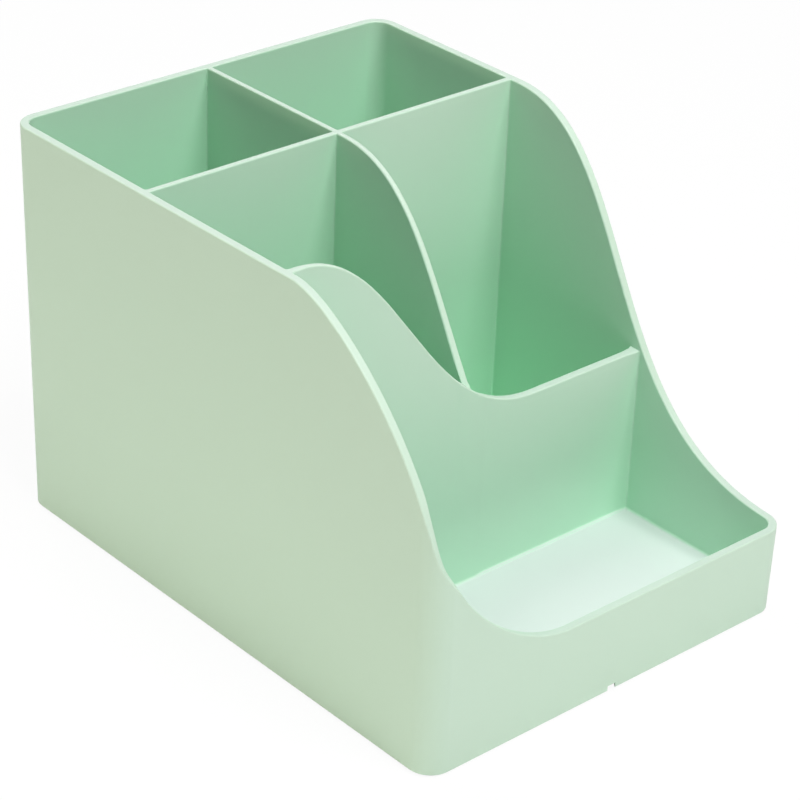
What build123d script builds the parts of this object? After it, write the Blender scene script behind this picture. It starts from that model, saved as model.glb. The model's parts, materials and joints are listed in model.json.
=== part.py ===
from build123d import *
import math
import os

os.makedirs("parts", exist_ok=True)

# A five-compartment desk organizer for pens, moulded in one piece.
# X runs left to right seen from the front, Y front to back, Z up, all in millimetres.
# The body stands on four small pads, so its base rim floats a little above Z = 0.

# The moulded body
body_height = 110.0
base_width = 120.3
base_depth = 161.6
draft = 0.5                  # every upright face leans by this much to leave the mould
corner_radius = 6.5          # upright outer corners, the same from base to rim
wall = 2.3
floor_top = 4.7              # compartment floors above the base rim
floor_thickness = 2.3
floor_fillet = 0.8
rim_round = 0.45
rim_lean = 0.2               # a rim face's normal points up by more than this
base_bevel = 0.3

# The partitions
partition_top = 2.05         # thickness at full height
rear_partition_y = 27.3
front_partition_y = -26.05
middle_partition_x = 0.0
flare_radius = 0.5           # upright inner corners where partitions meet walls

# The swept rim over the left wall, round the front left corner and along the front wall
front_rim = 24.75
sweep_start_y = -29.4        # where the left wall begins to drop
sweep_start_reach = 12.0
sweep_bend = (-0.8, 63.3)    # run from the middle of the corner, and height, where the S turns over
sweep_bend_angle = 68.8
sweep_bend_reach = 27.9
sweep_end = 43.6             # run where the front wall turns level
sweep_end_reach = 13.2
turn_lead = 1.3              # one wall thickness inwards, the rim's top turns the corner this much earlier
turn_lead_run = 2.8
turn_lead_reach = 7.2
sweep_steps = 16             # points per cubic of the sweep

# The bend of the right wall and of the middle partition, seen from the side
side_start = 24.6
side_start_reach = 46.0
side_end = -78.5
side_end_reach = 65.4

# The bend of the front partition, seen from the front
step_rim = 52.25
step_start = -56.7
step_start_reach = 30.7
step_end = 21.35
step_end_reach = 37.1

# The vent notch in the front skirt and the gate's recess under the floor
notch_width = 2.6
notch_height = 1.6
notch_flare = 40             # the notch widens towards the hollow, in degrees
hollow_round = 0.5
gate_diameter = 7.0
gate_depth = 0.4

# Non-slip pads
pad_diameter = 10.0
pad_lift = 0.4               # how far a pad stands out below the base rim
pad_inset = 14.0             # pad centre from the outer faces
pad_edge = 0.3

# Room for the cutting tools beyond the body
overcut = 2.0
beyond = 100.0

lean = math.tan(math.radians(draft))
blank_top = body_height + overcut
pocket_top = blank_top + overcut
lid = body_height + beyond
half_width = base_width / 2
half_depth = base_depth / 2


def span_box(x0, x1, y0, y1, z0, z1):
    """Box between two corners."""
    return Pos((x0 + x1) / 2, (y0 + y1) / 2, (z0 + z1) / 2) * Box(x1 - x0, y1 - y0, z1 - z0)


def flared_block(x0, x1, y0, y1, z0, z1, radii):
    """Block leaning outwards as it rises, with rounded upright edges; its sizes are those at z0.

    The radii are given front left, front right, rear left, rear right.
    """
    grow = (z1 - z0) * lean
    outline = Pos((x0 + x1) / 2, -(y0 + y1) / 2) * Rectangle(x1 - x0 + 2 * grow, y1 - y0 + 2 * grow)
    block = Pos(0, 0, z1) * Rot(180, 0, 0) * extrude(outline, z1 - z0, taper=draft)
    for corner, radius in zip(((x0, y0), (x1, y0), (x0, y1), (x1, y1)), radii):
        uprights = block.edges().filter_by(Plane.XY, reverse=True)
        block = fillet(uprights.sort_by_distance((*corner, z0))[0], radius)
    return block


def s_curtain(plane, start, end, low, start_reach, end_reach):
    """Face above the body's top, an S-shaped curve and a lower level line."""
    side = 1 if end > start else -1
    high_end = (start - side * beyond, body_height)
    low_end = (end + side * beyond, low)
    start_pole = (start + side * start_reach, body_height)
    end_pole = (end - side * end_reach, low)
    edges = [
        Line(high_end, (start, body_height)),
        Bezier((start, body_height), start_pole, end_pole, (end, low)),
        Line((end, low), low_end),
        Polyline(low_end, (low_end[0], lid), (high_end[0], lid), high_end),
    ]
    return plane * make_face(edges)


# The plan of the front left corner at half height, which the swept rim follows
plan_x = corner_radius - half_width - body_height / 2 * lean
plan_y = corner_radius - half_depth - body_height / 2 * lean
corner_run = math.pi / 4 * corner_radius    # from the middle of the corner to either end of it


def plan_point(run, inset):
    """Point over the left wall, front left corner or front wall, inset from the outer face."""
    if run < -corner_run:
        return (plan_x - corner_radius + inset, plan_y - run - corner_run)
    if run > corner_run:
        return (plan_x + run - corner_run, plan_y - corner_radius + inset)
    angle = math.radians(225) + run / corner_radius
    radius = corner_radius - inset
    return (plan_x + radius * math.cos(angle), plan_y + radius * math.sin(angle))


def cubic_point(poles, t):
    """Point of a cubic curve with four poles."""
    weights = ((1 - t) ** 3, 3 * t * (1 - t) ** 2, 3 * t * t * (1 - t), t ** 3)
    return tuple(sum(w * pole[axis] for w, pole in zip(weights, poles)) for axis in (0, 1))


def sweep_points(steps):
    """Runs and heights along the two cubic curves of the swept rim."""
    start = plan_y - corner_run - sweep_start_y
    bend_run = sweep_bend_reach * math.cos(math.radians(sweep_bend_angle))
    bend_drop = sweep_bend_reach * math.sin(math.radians(sweep_bend_angle))
    run, height = sweep_bend
    before = (run - bend_run, height + bend_drop)
    after = (run + bend_run, height - bend_drop)
    upper = [(start, body_height), (start + sweep_start_reach, body_height), before, sweep_bend]
    lower = [sweep_bend, after, (sweep_end - sweep_end_reach, front_rim), (sweep_end, front_rim)]
    points = [cubic_point(poles, i / steps) for poles in (upper, lower) for i in range(steps)]
    return points + [lower[3]]


def lead(run, inset):
    """How far ahead of the corner the rim's top is at one run and inset; none on the outer face."""
    share = min(abs(run - turn_lead_run) / turn_lead_reach, 1)
    return turn_lead * inset / wall * math.cos(share * math.pi / 2) ** 2


def sweep_curtain():
    """Solid above the swept rim, whose top surface runs square to the straight walls."""
    points = sweep_points(sweep_steps)
    lengths = [0.0]
    for a, b in zip(points, points[1:]):
        lengths.append(lengths[-1] + math.dist(a, b))
    rails = []
    for inset in (-wall, 2 * wall):
        path = [(*plan_point(run + lead(run, inset), inset), height) for run, height in points]
        rails.append(Edge.make_spline(path, [(0, -1, 0), (1, 0, 0)], parameters=lengths, scale=False))
    ribbon = Face.make_surface_from_curves(*rails)
    return Solid.extrude(ribbon, Vector(0, 0, blank_top))


# The blank, and its compartments
blank = flared_block(-half_width, half_width, -half_depth, half_depth, 0, blank_top, [corner_radius] * 4)
blank = chamfer(blank.edges().group_by(Axis.Z)[0], base_bevel)

floor_grow = floor_top * lean
inner_x = half_width + floor_grow - wall
inner_y = half_depth + floor_grow - wall
inner_round = corner_radius - wall
half_partition = partition_top / 2 + (body_height - floor_top) * lean
front_face = front_partition_y - half_partition
front_back = front_partition_y + half_partition
rear_face = rear_partition_y - half_partition
rear_back = rear_partition_y + half_partition
middle_left = middle_partition_x - half_partition
middle_right = middle_partition_x + half_partition
flares = [flare_radius] * 4
pockets = [
    (-inner_x, inner_x, -inner_y, front_face, [inner_round, inner_round, flare_radius, flare_radius]),
    (-inner_x, middle_left, front_back, rear_face, flares),
    (middle_right, inner_x, front_back, rear_face, flares),
    (-inner_x, middle_left, rear_back, inner_y, [flare_radius, flare_radius, inner_round, flare_radius]),
    (middle_right, inner_x, rear_back, inner_y, [flare_radius, flare_radius, flare_radius, inner_round]),
]
body = blank
for x0, x1, y0, y1, radii in pockets:
    pocket = flared_block(x0, x1, y0, y1, floor_top, pocket_top, radii)
    pocket = fillet(pocket.edges().group_by(Axis.Z)[0], floor_fillet)
    body = body - pocket

# The front partition and its flares are cut by the step, the right wall and middle partition by the side's S.
# Where those two partitions cross, the higher of the two surfaces stays.
interior = flared_block(-inner_x, inner_x, -inner_y, inner_y, floor_top, pocket_top, [inner_round] * 4)
flare_end = front_back + flare_radius
crossing_left = middle_left + step_rim * lean - flare_radius
crossing_right = middle_right - step_rim * lean
crossing = span_box(crossing_left, crossing_right, front_partition_y, flare_end, 0, lid)
over_front = interior & span_box(-beyond, beyond, -beyond, flare_end, 0, lid)

side_face = s_curtain(Plane.YZ, side_start, side_end, front_rim, side_start_reach, side_end_reach)
sweep_end_x = plan_x + sweep_end - corner_run
side = Pos(sweep_end_x, 0, 0) * extrude(side_face, beyond)
step_face = s_curtain(Plane.XZ, step_start, step_end, step_rim, step_start_reach, step_end_reach)
step = Pos(0, flare_end, 0) * extrude(step_face, flare_end - sweep_start_y)

curtains = [
    span_box(-beyond, sweep_end_x, sweep_start_y, beyond, body_height, lid),
    side - over_front,
    (step & interior) - crossing,
    step & side & crossing,
    sweep_curtain(),
]
for curtain in curtains:
    body = body - curtain

# The rims' edges are rounded outside all the way round, and inside the two rear compartments
inset = wall / 4
core_x = half_width - inset
core_y = half_depth - inset
core = flared_block(-core_x, core_x, -core_y, core_y, 0, blank_top, [corner_radius - inset] * 4)
upper_faces = body.faces().filter_by(lambda face: face.center().Z > front_rim - inset)
rims = upper_faces.filter_by(lambda face: face.normal_at().Z > rim_lean)
outer_edges = [edge for edge in rims.edges() if not core.is_inside(edge @ 0.5)]
body = fillet(outer_edges, rim_round)
level = body.edges().filter_by_position(Axis.Z, body_height, body_height)
rear_edges = level.filter_by(lambda edge: edge.center().Y > rear_partition_y and core.is_inside(edge @ 0.5))
body = fillet(rear_edges, rim_round)

# The hollow under the floor, the vent notch in the front skirt and the gate's recess
hollow_depth = floor_top - floor_thickness
hollow = RectangleRounded(base_width - 2 * wall, base_depth - 2 * wall, corner_radius - wall)
hollow = extrude(hollow, hollow_depth, taper=draft)
hollow = fillet(hollow.edges().group_by(Axis.Z)[-1], hollow_round)
notch_half = notch_width / 2
notch_wide = notch_half + wall * math.tan(math.radians(notch_flare))
notch_outer = -half_depth - overcut
notch_inner = wall - half_depth
notch = make_face(Polyline(
    (-notch_half, notch_outer), (notch_half, notch_outer), (notch_half, -half_depth),
    (notch_wide, notch_inner), (-notch_wide, notch_inner), (-notch_half, -half_depth), close=True))
gate = Pos(0, 0, hollow_depth + gate_depth / 2) * Cylinder(gate_diameter / 2, gate_depth)
body = body - hollow - extrude(notch, notch_height) - gate

# Everything is set down with the pads on Z = 0 and the outline centred over the origin
settle = Pos(0, -body.bounding_box().center().Y, pad_lift)
body = settle * body
body.label = "organizer_body"
export_step(body, "parts/organizer_body.step")
print("body volume", round(body.volume), "solids", len(body.solids()), "valid", body.is_valid)

pad = Cylinder(pad_diameter / 2, hollow_depth + pad_lift, align=(Align.CENTER, Align.CENTER, Align.MIN))
pad = chamfer(pad.edges().group_by(Axis.Z)[0], pad_edge)
for depth_name, depth_side in (("front", -1), ("rear", 1)):
    for width_name, width_side in (("left", -1), ("right", 1)):
        place = Pos(width_side * (half_width - pad_inset), depth_side * (half_depth - pad_inset), -pad_lift)
        foot = settle * place * pad
        foot.label = f"non_slip_pad_{depth_name}_{width_name}"
        export_step(foot, f"parts/{foot.label}.step")
print("box", body.bounding_box())
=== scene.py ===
# %% [markdown]
# # A moulded pen holder
#
# The object is a desk pen holder, moulded in one piece from mint green plastic: four tall compartments behind
# a low tray, with rims that run down in long S curves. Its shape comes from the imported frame, in metres. This
# lesson gives it round rims, slim partitions, rubber bumpers, a fine matt finish and a studio's soft light.

# %% The frame
import json
import math

import bmesh
import bpy
from mathutils import Matrix, Vector

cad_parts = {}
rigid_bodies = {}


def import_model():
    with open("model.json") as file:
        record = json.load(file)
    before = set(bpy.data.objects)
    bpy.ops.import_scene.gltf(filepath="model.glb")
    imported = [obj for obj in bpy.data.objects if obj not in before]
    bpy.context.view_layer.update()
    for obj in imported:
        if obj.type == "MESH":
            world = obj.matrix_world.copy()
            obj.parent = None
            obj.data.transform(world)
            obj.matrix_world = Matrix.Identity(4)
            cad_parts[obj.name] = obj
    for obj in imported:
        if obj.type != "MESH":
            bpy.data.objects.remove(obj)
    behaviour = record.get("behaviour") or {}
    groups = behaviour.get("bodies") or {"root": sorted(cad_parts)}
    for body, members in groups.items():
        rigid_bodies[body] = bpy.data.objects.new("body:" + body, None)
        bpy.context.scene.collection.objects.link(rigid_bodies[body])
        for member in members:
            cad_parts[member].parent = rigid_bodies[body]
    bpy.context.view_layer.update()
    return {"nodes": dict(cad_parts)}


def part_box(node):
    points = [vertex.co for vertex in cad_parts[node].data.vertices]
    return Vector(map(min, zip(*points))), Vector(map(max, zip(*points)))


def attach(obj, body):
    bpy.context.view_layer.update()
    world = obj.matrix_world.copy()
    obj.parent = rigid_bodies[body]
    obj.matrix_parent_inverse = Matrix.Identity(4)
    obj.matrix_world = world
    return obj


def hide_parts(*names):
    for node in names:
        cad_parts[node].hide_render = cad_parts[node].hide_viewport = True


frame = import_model()

# %% [markdown]
# The camera stands to the front left of the holder and looks down on it. It was found by fitting the straight
# edges of the photograph, so it is given by its place and three angles. A long lens keeps the upright edges
# nearly parallel, as in a product photograph.

# %% The camera
CAMERA_SPOT = (-0.40910, -0.44992, 0.38361)
CAMERA_AZIMUTH = math.radians(-42.30)
CAMERA_ELEVATION = math.radians(29.075)
CAMERA_ROLL = math.radians(2.345)
SENSOR_WIDTH = 36
LENS = 122.7

camera_data = bpy.data.cameras.new("camera")
camera_data.lens = LENS
camera_data.sensor_width = SENSOR_WIDTH
camera = bpy.data.objects.new("camera", camera_data)
turn = Matrix.Rotation(CAMERA_AZIMUTH, 4, "Z")
tilt = Matrix.Rotation(math.pi / 2 - CAMERA_ELEVATION, 4, "X")
roll = Matrix.Rotation(CAMERA_ROLL, 4, "Z")
camera.matrix_world = Matrix.Translation(CAMERA_SPOT) @ turn @ tilt @ roll
bpy.context.scene.collection.objects.link(camera)
bpy.context.scene.camera = camera
bpy.context.scene.view_settings.view_transform = "Standard"
print("camera at", [round(v, 3) for v in camera.matrix_world.translation])

# %% [markdown]
# The body is one moulding, and its rims are as round as the mould's cutter left them: a radius of about half
# a millimetre, which catches the light along every S curve. In the frame, the outer edges of the rims are
# round already, but most inner edges and the partitions' edges are sharp. The rims could be drawn again by
# hand, but the frame's surfaces are right, so a copy of them is joined into one skin, and its flat strips are
# dissolved into whole faces. Then it can be shaped and bevelled as any other mesh.

# %% One skin
JOIN_DISTANCE = 0.00002
FLAT_ANGLE = math.radians(1.0)
SKIRT_TOP = 0.02
STRAY_X, STRAY_Y = 0.0007, 0.02


def select(parts, test):
    """Selects the faces, edges or verts of the edited piece that pass the test, and returns how many do."""
    bpy.ops.mesh.select_all(action="DESELECT")
    bpy.ops.mesh.select_mode(type={"faces": "FACE", "edges": "EDGE", "verts": "VERT"}[parts])
    mesh = bpy.context.object.data
    skin = bmesh.from_edit_mesh(mesh)
    chosen = [part for part in getattr(skin, parts) if test(part)]
    for part in chosen:
        part.select = True
    bmesh.update_edit_mesh(mesh)
    return len(chosen)


def is_stray(vert):
    """True for a point that is left along the middle of the middle partition's rim."""
    x, y, z = vert.co
    return abs(x) < STRAY_X and abs(y) < STRAY_Y and z > SKIRT_TOP


bpy.ops.object.select_all(action="DESELECT")
body = bpy.data.objects.new("moulded_body", frame["nodes"]["organizer_body"].data.copy())
bpy.context.scene.collection.objects.link(body)
body.select_set(True)
bpy.context.view_layer.objects.active = body
bpy.ops.mesh.customdata_custom_splitnormals_clear()
bpy.ops.object.mode_set(mode="EDIT")
bpy.ops.mesh.select_all(action="SELECT")
bpy.ops.mesh.remove_doubles(threshold=JOIN_DISTANCE)
select("faces", lambda face: max(vert.co.z for vert in face.verts) > SKIRT_TOP)
bpy.ops.mesh.dissolve_limited(angle_limit=FLAT_ANGLE)
stray_points = select("verts", is_stray)
bpy.ops.mesh.dissolve_verts()
print("one skin,", stray_points, "stray points taken off the middle partition's rim")

# %% [markdown]
# Seen along its rim, each partition is a plate that grows thinner upwards. In the photograph the plates are
# about a quarter slimmer than in the frame. They could be built anew, but it is simpler to draw both sides of
# each plate towards its middle plane, which keeps every curve of its rim. The pull fades away within 4.5 mm of
# the plane. The front plate's pull also fades at the crossing and at the walls with their sloping rims, and
# the middle plate's pull ends inside the front plate, so that neither bends an S curve. The plates are cut
# across there first, to have points where the pull starts and ends.

# %% Slimmer partitions
SLIMMING = 0.25
FRONT_PLANE = -0.02605
REAR_PLANE = 0.0273
PLATE_SIDE = 0.0024
PULL_NEAR, PULL_FAR = 0.0019, 0.0045
CROSS_START, CROSS_END = 0.0027, 0.006
WALL_START, WALL_END = 0.0573, 0.054
MIDDLE_START, MIDDLE_END = -0.0262, -0.0252
FLOOR_LEVEL = 0.005


def ramp(value, start, end):
    """0 at the start, 1 at the end, straight between them."""
    return min(max((value - start) / (end - start), 0), 1)


def pull(distance):
    """How far a point at this distance from a plate's middle plane is drawn towards it."""
    if abs(distance) < PULL_NEAR:
        return SLIMMING * distance
    return math.copysign(SLIMMING * PULL_NEAR * ramp(abs(distance), PULL_FAR, PULL_NEAR), distance)


def cut_plate(axis, middle, point, normal):
    """Cuts the faces of one plate across."""
    select("faces", lambda face: all(
        vert.co.z > FLOOR_LEVEL and abs(vert.co[axis] - middle) < PLATE_SIDE for vert in face.verts))
    bpy.ops.mesh.bisect(plane_co=point, plane_no=normal)


for place in (CROSS_START, CROSS_END, WALL_START, WALL_END):
    for side in (-1, 1):
        cut_plate(1, FRONT_PLANE, (side * place, 0, 0), (1, 0, 0))
for place in (MIDDLE_START, MIDDLE_END):
    cut_plate(0, 0, (0, place, 0), (0, 1, 0))
skin = bmesh.from_edit_mesh(body.data)
for vert in skin.verts:
    x, y, z = vert.co
    if z > FLOOR_LEVEL:
        along_front = min(ramp(abs(x), CROSS_START, CROSS_END), ramp(abs(x), WALL_START, WALL_END))
        vert.co.x = x - ramp(y, MIDDLE_START, MIDDLE_END) * pull(x)
        vert.co.y = y - along_front * pull(y - FRONT_PLANE) - pull(y - REAR_PLANE)
bmesh.update_edit_mesh(body.data)
print("partitions slimmed by", SLIMMING)

# %% [markdown]
# A sharp rim edge is convex, stands above the skirt and turns by more than 50 degrees. Each could be rounded
# by hand, but one bevel of all of them gives the same width everywhere. Where two rims cross, a bevel would
# fold, and the mould leaves a small soft knot there, so the edges next to the crossings stay as they are.
# After the bevel, the normals are weighted by the size of the faces, so that the large flat walls look flat
# up to the start of the round.

# %% Round rims
RIM_RADIUS = 0.0005
RIM_SEGMENTS = 3
RIM_ANGLE = math.radians(50)
FOLD_ANGLE = math.radians(150)
SMOOTH_ANGLE = math.radians(35)
CROSSINGS = (
    (Vector((0.0003, -0.0247, 0.060)), 0.0024),
    (Vector((0.0583, -0.0247, 0.05265)), 0.0012),
    (Vector((0.0583, -0.0289, 0.05265)), 0.0012),
)


def is_rim(edge):
    """True for a rim edge that can be rounded."""
    low = min(vert.co.z for vert in edge.verts)
    if low < SKIRT_TOP or not edge.is_convex or edge.calc_face_angle(0) < RIM_ANGLE:
        return False
    middle = (edge.verts[0].co + edge.verts[1].co) / 2
    return all((middle - spot).length > reach for spot, reach in CROSSINGS)


def folds():
    """How many edges above the skirt turn back on themselves."""
    edges = bmesh.from_edit_mesh(body.data).edges
    return sum(edge.calc_face_angle(0) > FOLD_ANGLE and edge.verts[0].co.z > SKIRT_TOP for edge in edges)


folds_before = folds()
print("rim edges:", select("edges", is_rim))
bpy.ops.mesh.bevel(offset=RIM_RADIUS, segments=RIM_SEGMENTS, loop_slide=False)
print("folds before and after:", folds_before, folds())
bpy.ops.object.mode_set(mode="OBJECT")
bpy.ops.object.shade_smooth_by_angle(angle=SMOOTH_ANGLE)
weighted = body.modifiers.new("even_normals", "WEIGHTED_NORMAL")
weighted.keep_sharp = True
bpy.ops.object.modifier_apply(modifier=weighted.name)
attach(body, "root")
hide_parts("organizer_body")
print("rounded body:", len(body.data.polygons), "faces")

# %% [markdown]
# Under the corners sit four stick-on bumpers of soft rubber. A bumper comes out of a small mould, so its edge
# is rounded where it meets the table, and a shallow ring is pressed into its face for grip. The frame's pads
# are plain discs. They could be bevelled copies, but a cylinder of the same size has clean even sides. It is
# shaped by four insets for the ring and a bevel for the edge, and then copied to each corner.

# %% The bumpers
BUMPER_SIDES = 64
BUMPER_LAND = 0.0011
GROOVE_SLOPE = 0.0002
GROOVE_WIDTH = 0.0005
GROOVE_DEPTH = 0.0002
BUMPER_EDGE = 0.0005
EDGE_SEGMENTS = 4
FACING_DOWN = -0.9
OUTERMOST = 0.99

pad_names = sorted(name for name in frame["nodes"] if "pad" in name)
pad_low, pad_high = (Vector(corner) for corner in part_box(pad_names[0]))
pad_radius = (pad_high.x - pad_low.x) / 2
pad_height = pad_high.z - pad_low.z
pad_middle = (pad_low + pad_high) / 2


def is_foot(edge):
    """True for an edge round the foot of the bumper."""
    return all(
        vert.co.z < pad_low.z + BUMPER_EDGE / 2
        and (vert.co.xy - pad_middle.xy).length > OUTERMOST * pad_radius
        for vert in edge.verts)


bpy.ops.object.select_all(action="DESELECT")
bpy.ops.mesh.primitive_cylinder_add(
    vertices=BUMPER_SIDES, radius=pad_radius, depth=pad_height, location=pad_middle)
bpy.ops.object.transform_apply(location=True, rotation=False, scale=False)
first_bumper = bpy.context.object
bpy.ops.object.mode_set(mode="EDIT")
select("faces", lambda face: face.normal.z < FACING_DOWN)
bpy.ops.mesh.inset(thickness=BUMPER_LAND)
bpy.ops.mesh.inset(thickness=GROOVE_SLOPE, depth=-GROOVE_DEPTH)
bpy.ops.mesh.inset(thickness=GROOVE_WIDTH)
bpy.ops.mesh.inset(thickness=GROOVE_SLOPE, depth=GROOVE_DEPTH)
select("edges", is_foot)
bpy.ops.mesh.bevel(offset=BUMPER_EDGE, segments=EDGE_SEGMENTS)
bpy.ops.object.mode_set(mode="OBJECT")
bpy.ops.object.shade_smooth_by_angle(angle=SMOOTH_ANGLE)

bumpers = []
for pad_name in pad_names:
    bumper = first_bumper.copy()
    bumper.data = first_bumper.data.copy()
    bumper.data.transform(Matrix.Translation(Vector(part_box(pad_name)[0]) - pad_low))
    bumper.name = pad_name.replace("non_slip_pad", "bumper")
    bpy.context.scene.collection.objects.link(bumper)
    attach(bumper, "root")
    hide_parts(pad_name)
    bumpers.append(bumper)
bpy.data.objects.remove(first_bumper)
print("bumpers of", round(2000 * pad_radius, 1), "by", round(1000 * pad_height, 1), "mm")

# %% [markdown]
# Shader maths reads best as plain expressions. The class Signal wraps an output socket, so that
# `0.4 + 0.1 * grain` adds the two Math nodes itself. The class Recipe holds the nodes of one material, or of
# the world: its node method takes a node's type, its settings and the values or links of its sockets. A Mix
# node that works on colours has its factor in socket 0, its colours in sockets 6 and 7 and its result in
# output 2.

# %% A small language for finishes
COLOURS = {"data_type": "RGBA"}


class Signal:
    """An output socket that takes part in Python's arithmetic."""

    def __init__(self, recipe, socket):
        self.recipe = recipe
        self.socket = socket

    def join(self, operation, first, second):
        return self.recipe.node("Math", {"operation": operation}, {0: first, 1: second})

    def __add__(self, other):
        return self.join("ADD", self, other)

    def __radd__(self, other):
        return self.join("ADD", other, self)

    def __sub__(self, other):
        return self.join("SUBTRACT", self, other)

    def __rsub__(self, other):
        return self.join("SUBTRACT", other, self)

    def __mul__(self, other):
        return self.join("MULTIPLY", self, other)

    def __rmul__(self, other):
        return self.join("MULTIPLY", other, self)


class Recipe:
    """The nodes of one material or of the world."""

    def __init__(self, owner):
        owner.use_nodes = True
        self.owner = owner
        self.nodes = owner.node_tree.nodes
        self.links = owner.node_tree.links

    def node(self, kind, settings=None, sockets=None, output=0):
        """Adds a node and returns one of its outputs."""
        made = self.nodes.new("ShaderNode" + kind)
        for name, value in (settings or {}).items():
            setattr(made, name, value)
        self.feed(made, sockets or {})
        return Signal(self, made.outputs[output])

    def feed(self, made, sockets):
        """Sets or links the sockets of a node."""
        for name, value in sockets.items():
            if isinstance(value, Signal):
                self.links.new(value.socket, made.inputs[name])
            else:
                made.inputs[name].default_value = value

    def surface(self, **values):
        """Feeds the Principled shader, whose socket names have spaces."""
        sockets = {name.replace("_", " "): value for name, value in values.items()}
        self.feed(self.nodes["Principled BSDF"], sockets)


print("shader helpers are ready")

# %% [markdown]
# The body is polypropylene with a fine spark-eroded grain from the mould. Up close it is a soft pebbling a few
# tenths of a millimetre across. From a step away it only shows as a matt surface whose gloss wanders a little.
# The grain comes from two noises on object coordinates, so it keeps its size on every face.
#
# Light sinks a little way into this plastic and bounces between the walls of the compartments, so they look
# deeper and greener down inside them. That is painted shade in the base colour: an Ambient Occlusion node
# measures how open a point is and mixes a deeper, painted-shade mint and the open mint by it. The tray's floor
# faces the lamps and the backdrop, so a paler, greyer mint is painted on it as a highlight. The rims' tops are
# the most strongly lit faces of all, so a deeper mint is painted on them as shade against that light.

# %% The moulded plastic
MINT = (0.56, 0.72, 0.58, 1)
# Painted shade: the deeper mint stands in for light bounced inside the compartments.
MINT_PAINTED_SHADE = (0.43, 0.765, 0.545, 1)
# Painted highlight: a paler, greyer mint on the tray's floor.
MINT_TRAY_HIGHLIGHT = (0.62, 0.645, 0.655, 1)
# Painted shade: a deeper mint on the rims' tops, against the strong light there.
MINT_RIM_SHADE = (0.47, 0.578, 0.50, 1)
GRAIN = {"Scale": 2600.0, "Detail": 2.0, "Roughness": 0.6}
PEBBLE = {"Scale": 900.0, "Detail": 1.0}
CLOUD = {"Scale": 26.0, "Detail": 3.0}
GRAIN_SHARE, PEBBLE_SHARE = 0.7, 0.3
GRAIN_HEIGHT, GRAIN_STRENGTH = 0.00004, 0.35
OPEN_REACH = 0.075
CLOUD_TINT = 0.06
TOP_PAINT_SHARE = 0.85
GLOSS, CLOUD_GLOSS, GRAIN_GLOSS = 0.40, 0.12, 0.06
PLASTIC_IOR = 1.49


def moulded_plastic():
    finish = Recipe(bpy.data.materials.new("moulded_plastic"))
    place = finish.node("TexCoord", output="Object")
    depth = finish.node("SeparateXYZ", {}, {0: place}, output="Y")
    height = finish.node("SeparateXYZ", {}, {0: place}, output="Z")
    grain = finish.node("TexNoise", {}, {"Vector": place, **GRAIN})
    pebble = finish.node("TexNoise", {}, {"Vector": place, **PEBBLE})
    cloud = finish.node("TexNoise", {}, {"Vector": place, **CLOUD})
    # Painted shade: the less open a point is, the more of the deeper mint it gets.
    openness = finish.node(
        "AmbientOcclusion", {"samples": 8, "only_local": True}, {"Distance": OPEN_REACH}, output="AO")
    shade = openness + CLOUD_TINT * (cloud - 0.5)
    shade_painted_mint = finish.node("Mix", COLOURS, {0: shade, 6: MINT_PAINTED_SHADE, 7: MINT}, output=2)

    # Painted light on up-facing faces: a highlight on the tray's floor and shade on the rims' tops.
    behind_tray = finish.node("Math", {"operation": "GREATER_THAN"}, {0: depth, 1: FRONT_PLANE})
    tray_highlight = finish.node("Mix", COLOURS, {0: behind_tray, 6: MINT_TRAY_HIGHLIGHT, 7: shade_painted_mint}, output=2)
    above_skirt = finish.node("Math", {"operation": "GREATER_THAN"}, {0: height, 1: SKIRT_TOP})
    painted_tops = finish.node("Mix", COLOURS, {0: above_skirt, 6: tray_highlight, 7: MINT_RIM_SHADE}, output=2)
    facing = finish.node("TexCoord", output="Normal")
    rise = finish.node("SeparateXYZ", {}, {0: facing}, output="Z")
    upward = finish.node("Math", {"operation": "MAXIMUM"}, {0: rise, 1: 0.0})
    painted_top_share = TOP_PAINT_SHARE * upward * upward * upward
    colour = finish.node("Mix", COLOURS, {0: painted_top_share, 6: shade_painted_mint, 7: painted_tops}, output=2)

    relief = GRAIN_SHARE * grain + PEBBLE_SHARE * pebble
    bump = finish.node("Bump", {}, {"Height": relief, "Strength": GRAIN_STRENGTH, "Distance": GRAIN_HEIGHT})
    roughness = GLOSS + CLOUD_GLOSS * cloud + GRAIN_GLOSS * grain
    finish.surface(Base_Color=colour, Roughness=roughness, Normal=bump, IOR=PLASTIC_IOR)
    return finish.owner


body.data.materials.clear()
body.data.materials.append(moulded_plastic())
print("body finished in", body.data.materials[0].name)

# %% [markdown]
# The bumpers are soft grey rubber. It could be one flat grey, but rubber is duller than the body and slightly
# rough, so one fine noise drives its colour, its roughness and its bump together.

# %% The pads' rubber
RUBBER_DARK = (0.50, 0.52, 0.50, 1)
RUBBER_LIGHT = (0.62, 0.63, 0.61, 1)
RUBBER_GRAIN = {"Scale": 1500.0, "Detail": 3.0}
RUBBER_HEIGHT, RUBBER_STRENGTH = 0.00006, 0.5
RUBBER_GLOSS, RUBBER_GRAIN_GLOSS = 0.7, 0.15


def pad_rubber():
    finish = Recipe(bpy.data.materials.new("pad_rubber"))
    place = finish.node("TexCoord", output="Object")
    grain = finish.node("TexNoise", {}, {"Vector": place, **RUBBER_GRAIN})
    colour = finish.node("Mix", COLOURS, {0: grain, 6: RUBBER_DARK, 7: RUBBER_LIGHT}, output=2)
    bump = finish.node("Bump", {}, {"Height": grain, "Strength": RUBBER_STRENGTH, "Distance": RUBBER_HEIGHT})
    finish.surface(Base_Color=colour, Roughness=RUBBER_GLOSS + RUBBER_GRAIN_GLOSS * grain, Normal=bump)
    return finish.owner


rubber = pad_rubber()
for bumper in bumpers:
    bumper.data.materials.append(rubber)
print("rubber on", len(bumpers), "bumpers")

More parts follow.
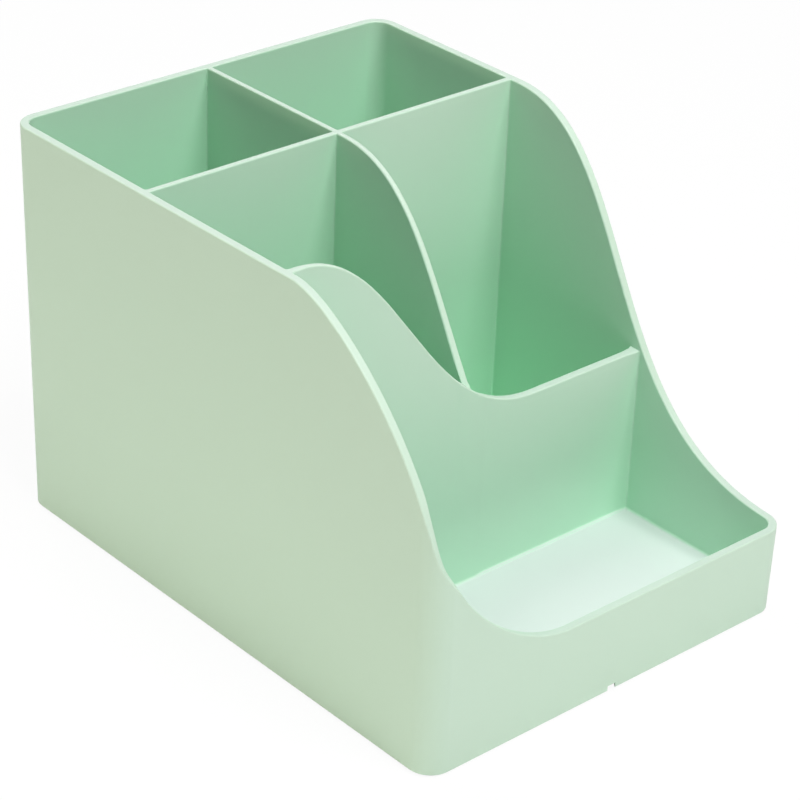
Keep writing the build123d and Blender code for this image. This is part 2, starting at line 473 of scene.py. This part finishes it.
# %% [markdown]
# The holder stands on a plain white table. A plain white material would render grey here, because the lamps
# are set for the plastic. So most of what the camera sees of the table glows at exactly white, and the small
# rest still takes the holder's shadow.

# %% The table
WHITE = (1, 1, 1, 1)
TABLE_SIZE = 8
TABLE_COLOUR = (0.9, 0.9, 0.9, 1)
TABLE_GLOSS = 0.8
TABLE_GLOW = 0.93

bpy.ops.object.select_all(action="DESELECT")
bpy.ops.mesh.primitive_plane_add(size=TABLE_SIZE, location=(0, 0, 0))
table = bpy.context.object
table.name = "table"
table_finish = Recipe(bpy.data.materials.new("white_table"))
table_finish.surface(Base_Color=TABLE_COLOUR, Roughness=TABLE_GLOSS)
paint = Signal(table_finish, table_finish.nodes["Principled BSDF"].outputs[0])
seen = table_finish.node("LightPath", output="Is Camera Ray")
glow = table_finish.node("Emission", {}, {"Color": WHITE, "Strength": 1.0})
mixed = table_finish.node("MixShader", {}, {0: TABLE_GLOW * seen, 1: paint, 2: glow})
table_finish.feed(table_finish.nodes["Material Output"], {"Surface": mixed})
table.data.materials.append(table_finish.owner)
print("table laid")

# %% [markdown]
# A photographer would hang a white backdrop round the table. Here the world is that backdrop: it is white
# where the camera or a reflection looks at it, and gives only a breath of fill light. The four softboxes do
# the lighting: the large one stands high in front, two fill from above and behind, and a low warm strip on
# the left keeps the long side wall from going dull.

# %% The studio
FILL_STRENGTH = 0.03
LAMP_DISTANCE = 1.1
LAMP_AIM = Vector((0, 0, 0.04))
WARM = (1.0, 0.94, 0.72)

world = bpy.data.worlds.new("studio")
bpy.context.scene.world = world
sky = Recipe(world)
camera_ray = sky.node("LightPath", output="Is Camera Ray")
glossy_ray = sky.node("LightPath", output="Is Glossy Ray")
white_ray = sky.node("Math", {"operation": "MAXIMUM"}, {0: camera_ray, 1: glossy_ray})
fill = sky.node("Background", {}, {"Color": WHITE, "Strength": FILL_STRENGTH})
backdrop = sky.node("Background", {}, {"Color": WHITE, "Strength": 1.0})
surround = sky.node("MixShader", {}, {0: white_ray, 1: fill, 2: backdrop})
sky.feed(sky.nodes["World Output"], {"Surface": surround})


def softbox(name, azimuth, elevation, width, height, power, colour=(1, 1, 1)):
    """An area lamp turned towards the holder; azimuth 0 is the front, 90 the right."""
    across, up = math.radians(azimuth), math.radians(elevation)
    direction = Vector((math.sin(across) * math.cos(up), -math.cos(across) * math.cos(up), math.sin(up)))
    data = bpy.data.lights.new(name, "AREA")
    data.shape = "RECTANGLE"
    data.size = width
    data.size_y = height
    data.energy = power
    data.color = colour
    lamp = bpy.data.objects.new(name, data)
    lamp.location = LAMP_DISTANCE * direction + LAMP_AIM
    lamp.rotation_euler = direction.to_track_quat("Z", "Y").to_euler()
    bpy.context.scene.collection.objects.link(lamp)


softbox("front_box", azimuth=0, elevation=60, width=0.6, height=0.6, power=11.0)
softbox("top_box", azimuth=0, elevation=88, width=0.8, height=0.8, power=3.0)
softbox("rear_box", azimuth=180, elevation=60, width=0.6, height=0.6, power=4.4)
softbox("left_strip", azimuth=-101, elevation=4, width=0.9, height=0.14, power=3.2, colour=WARM)
print("studio lit")
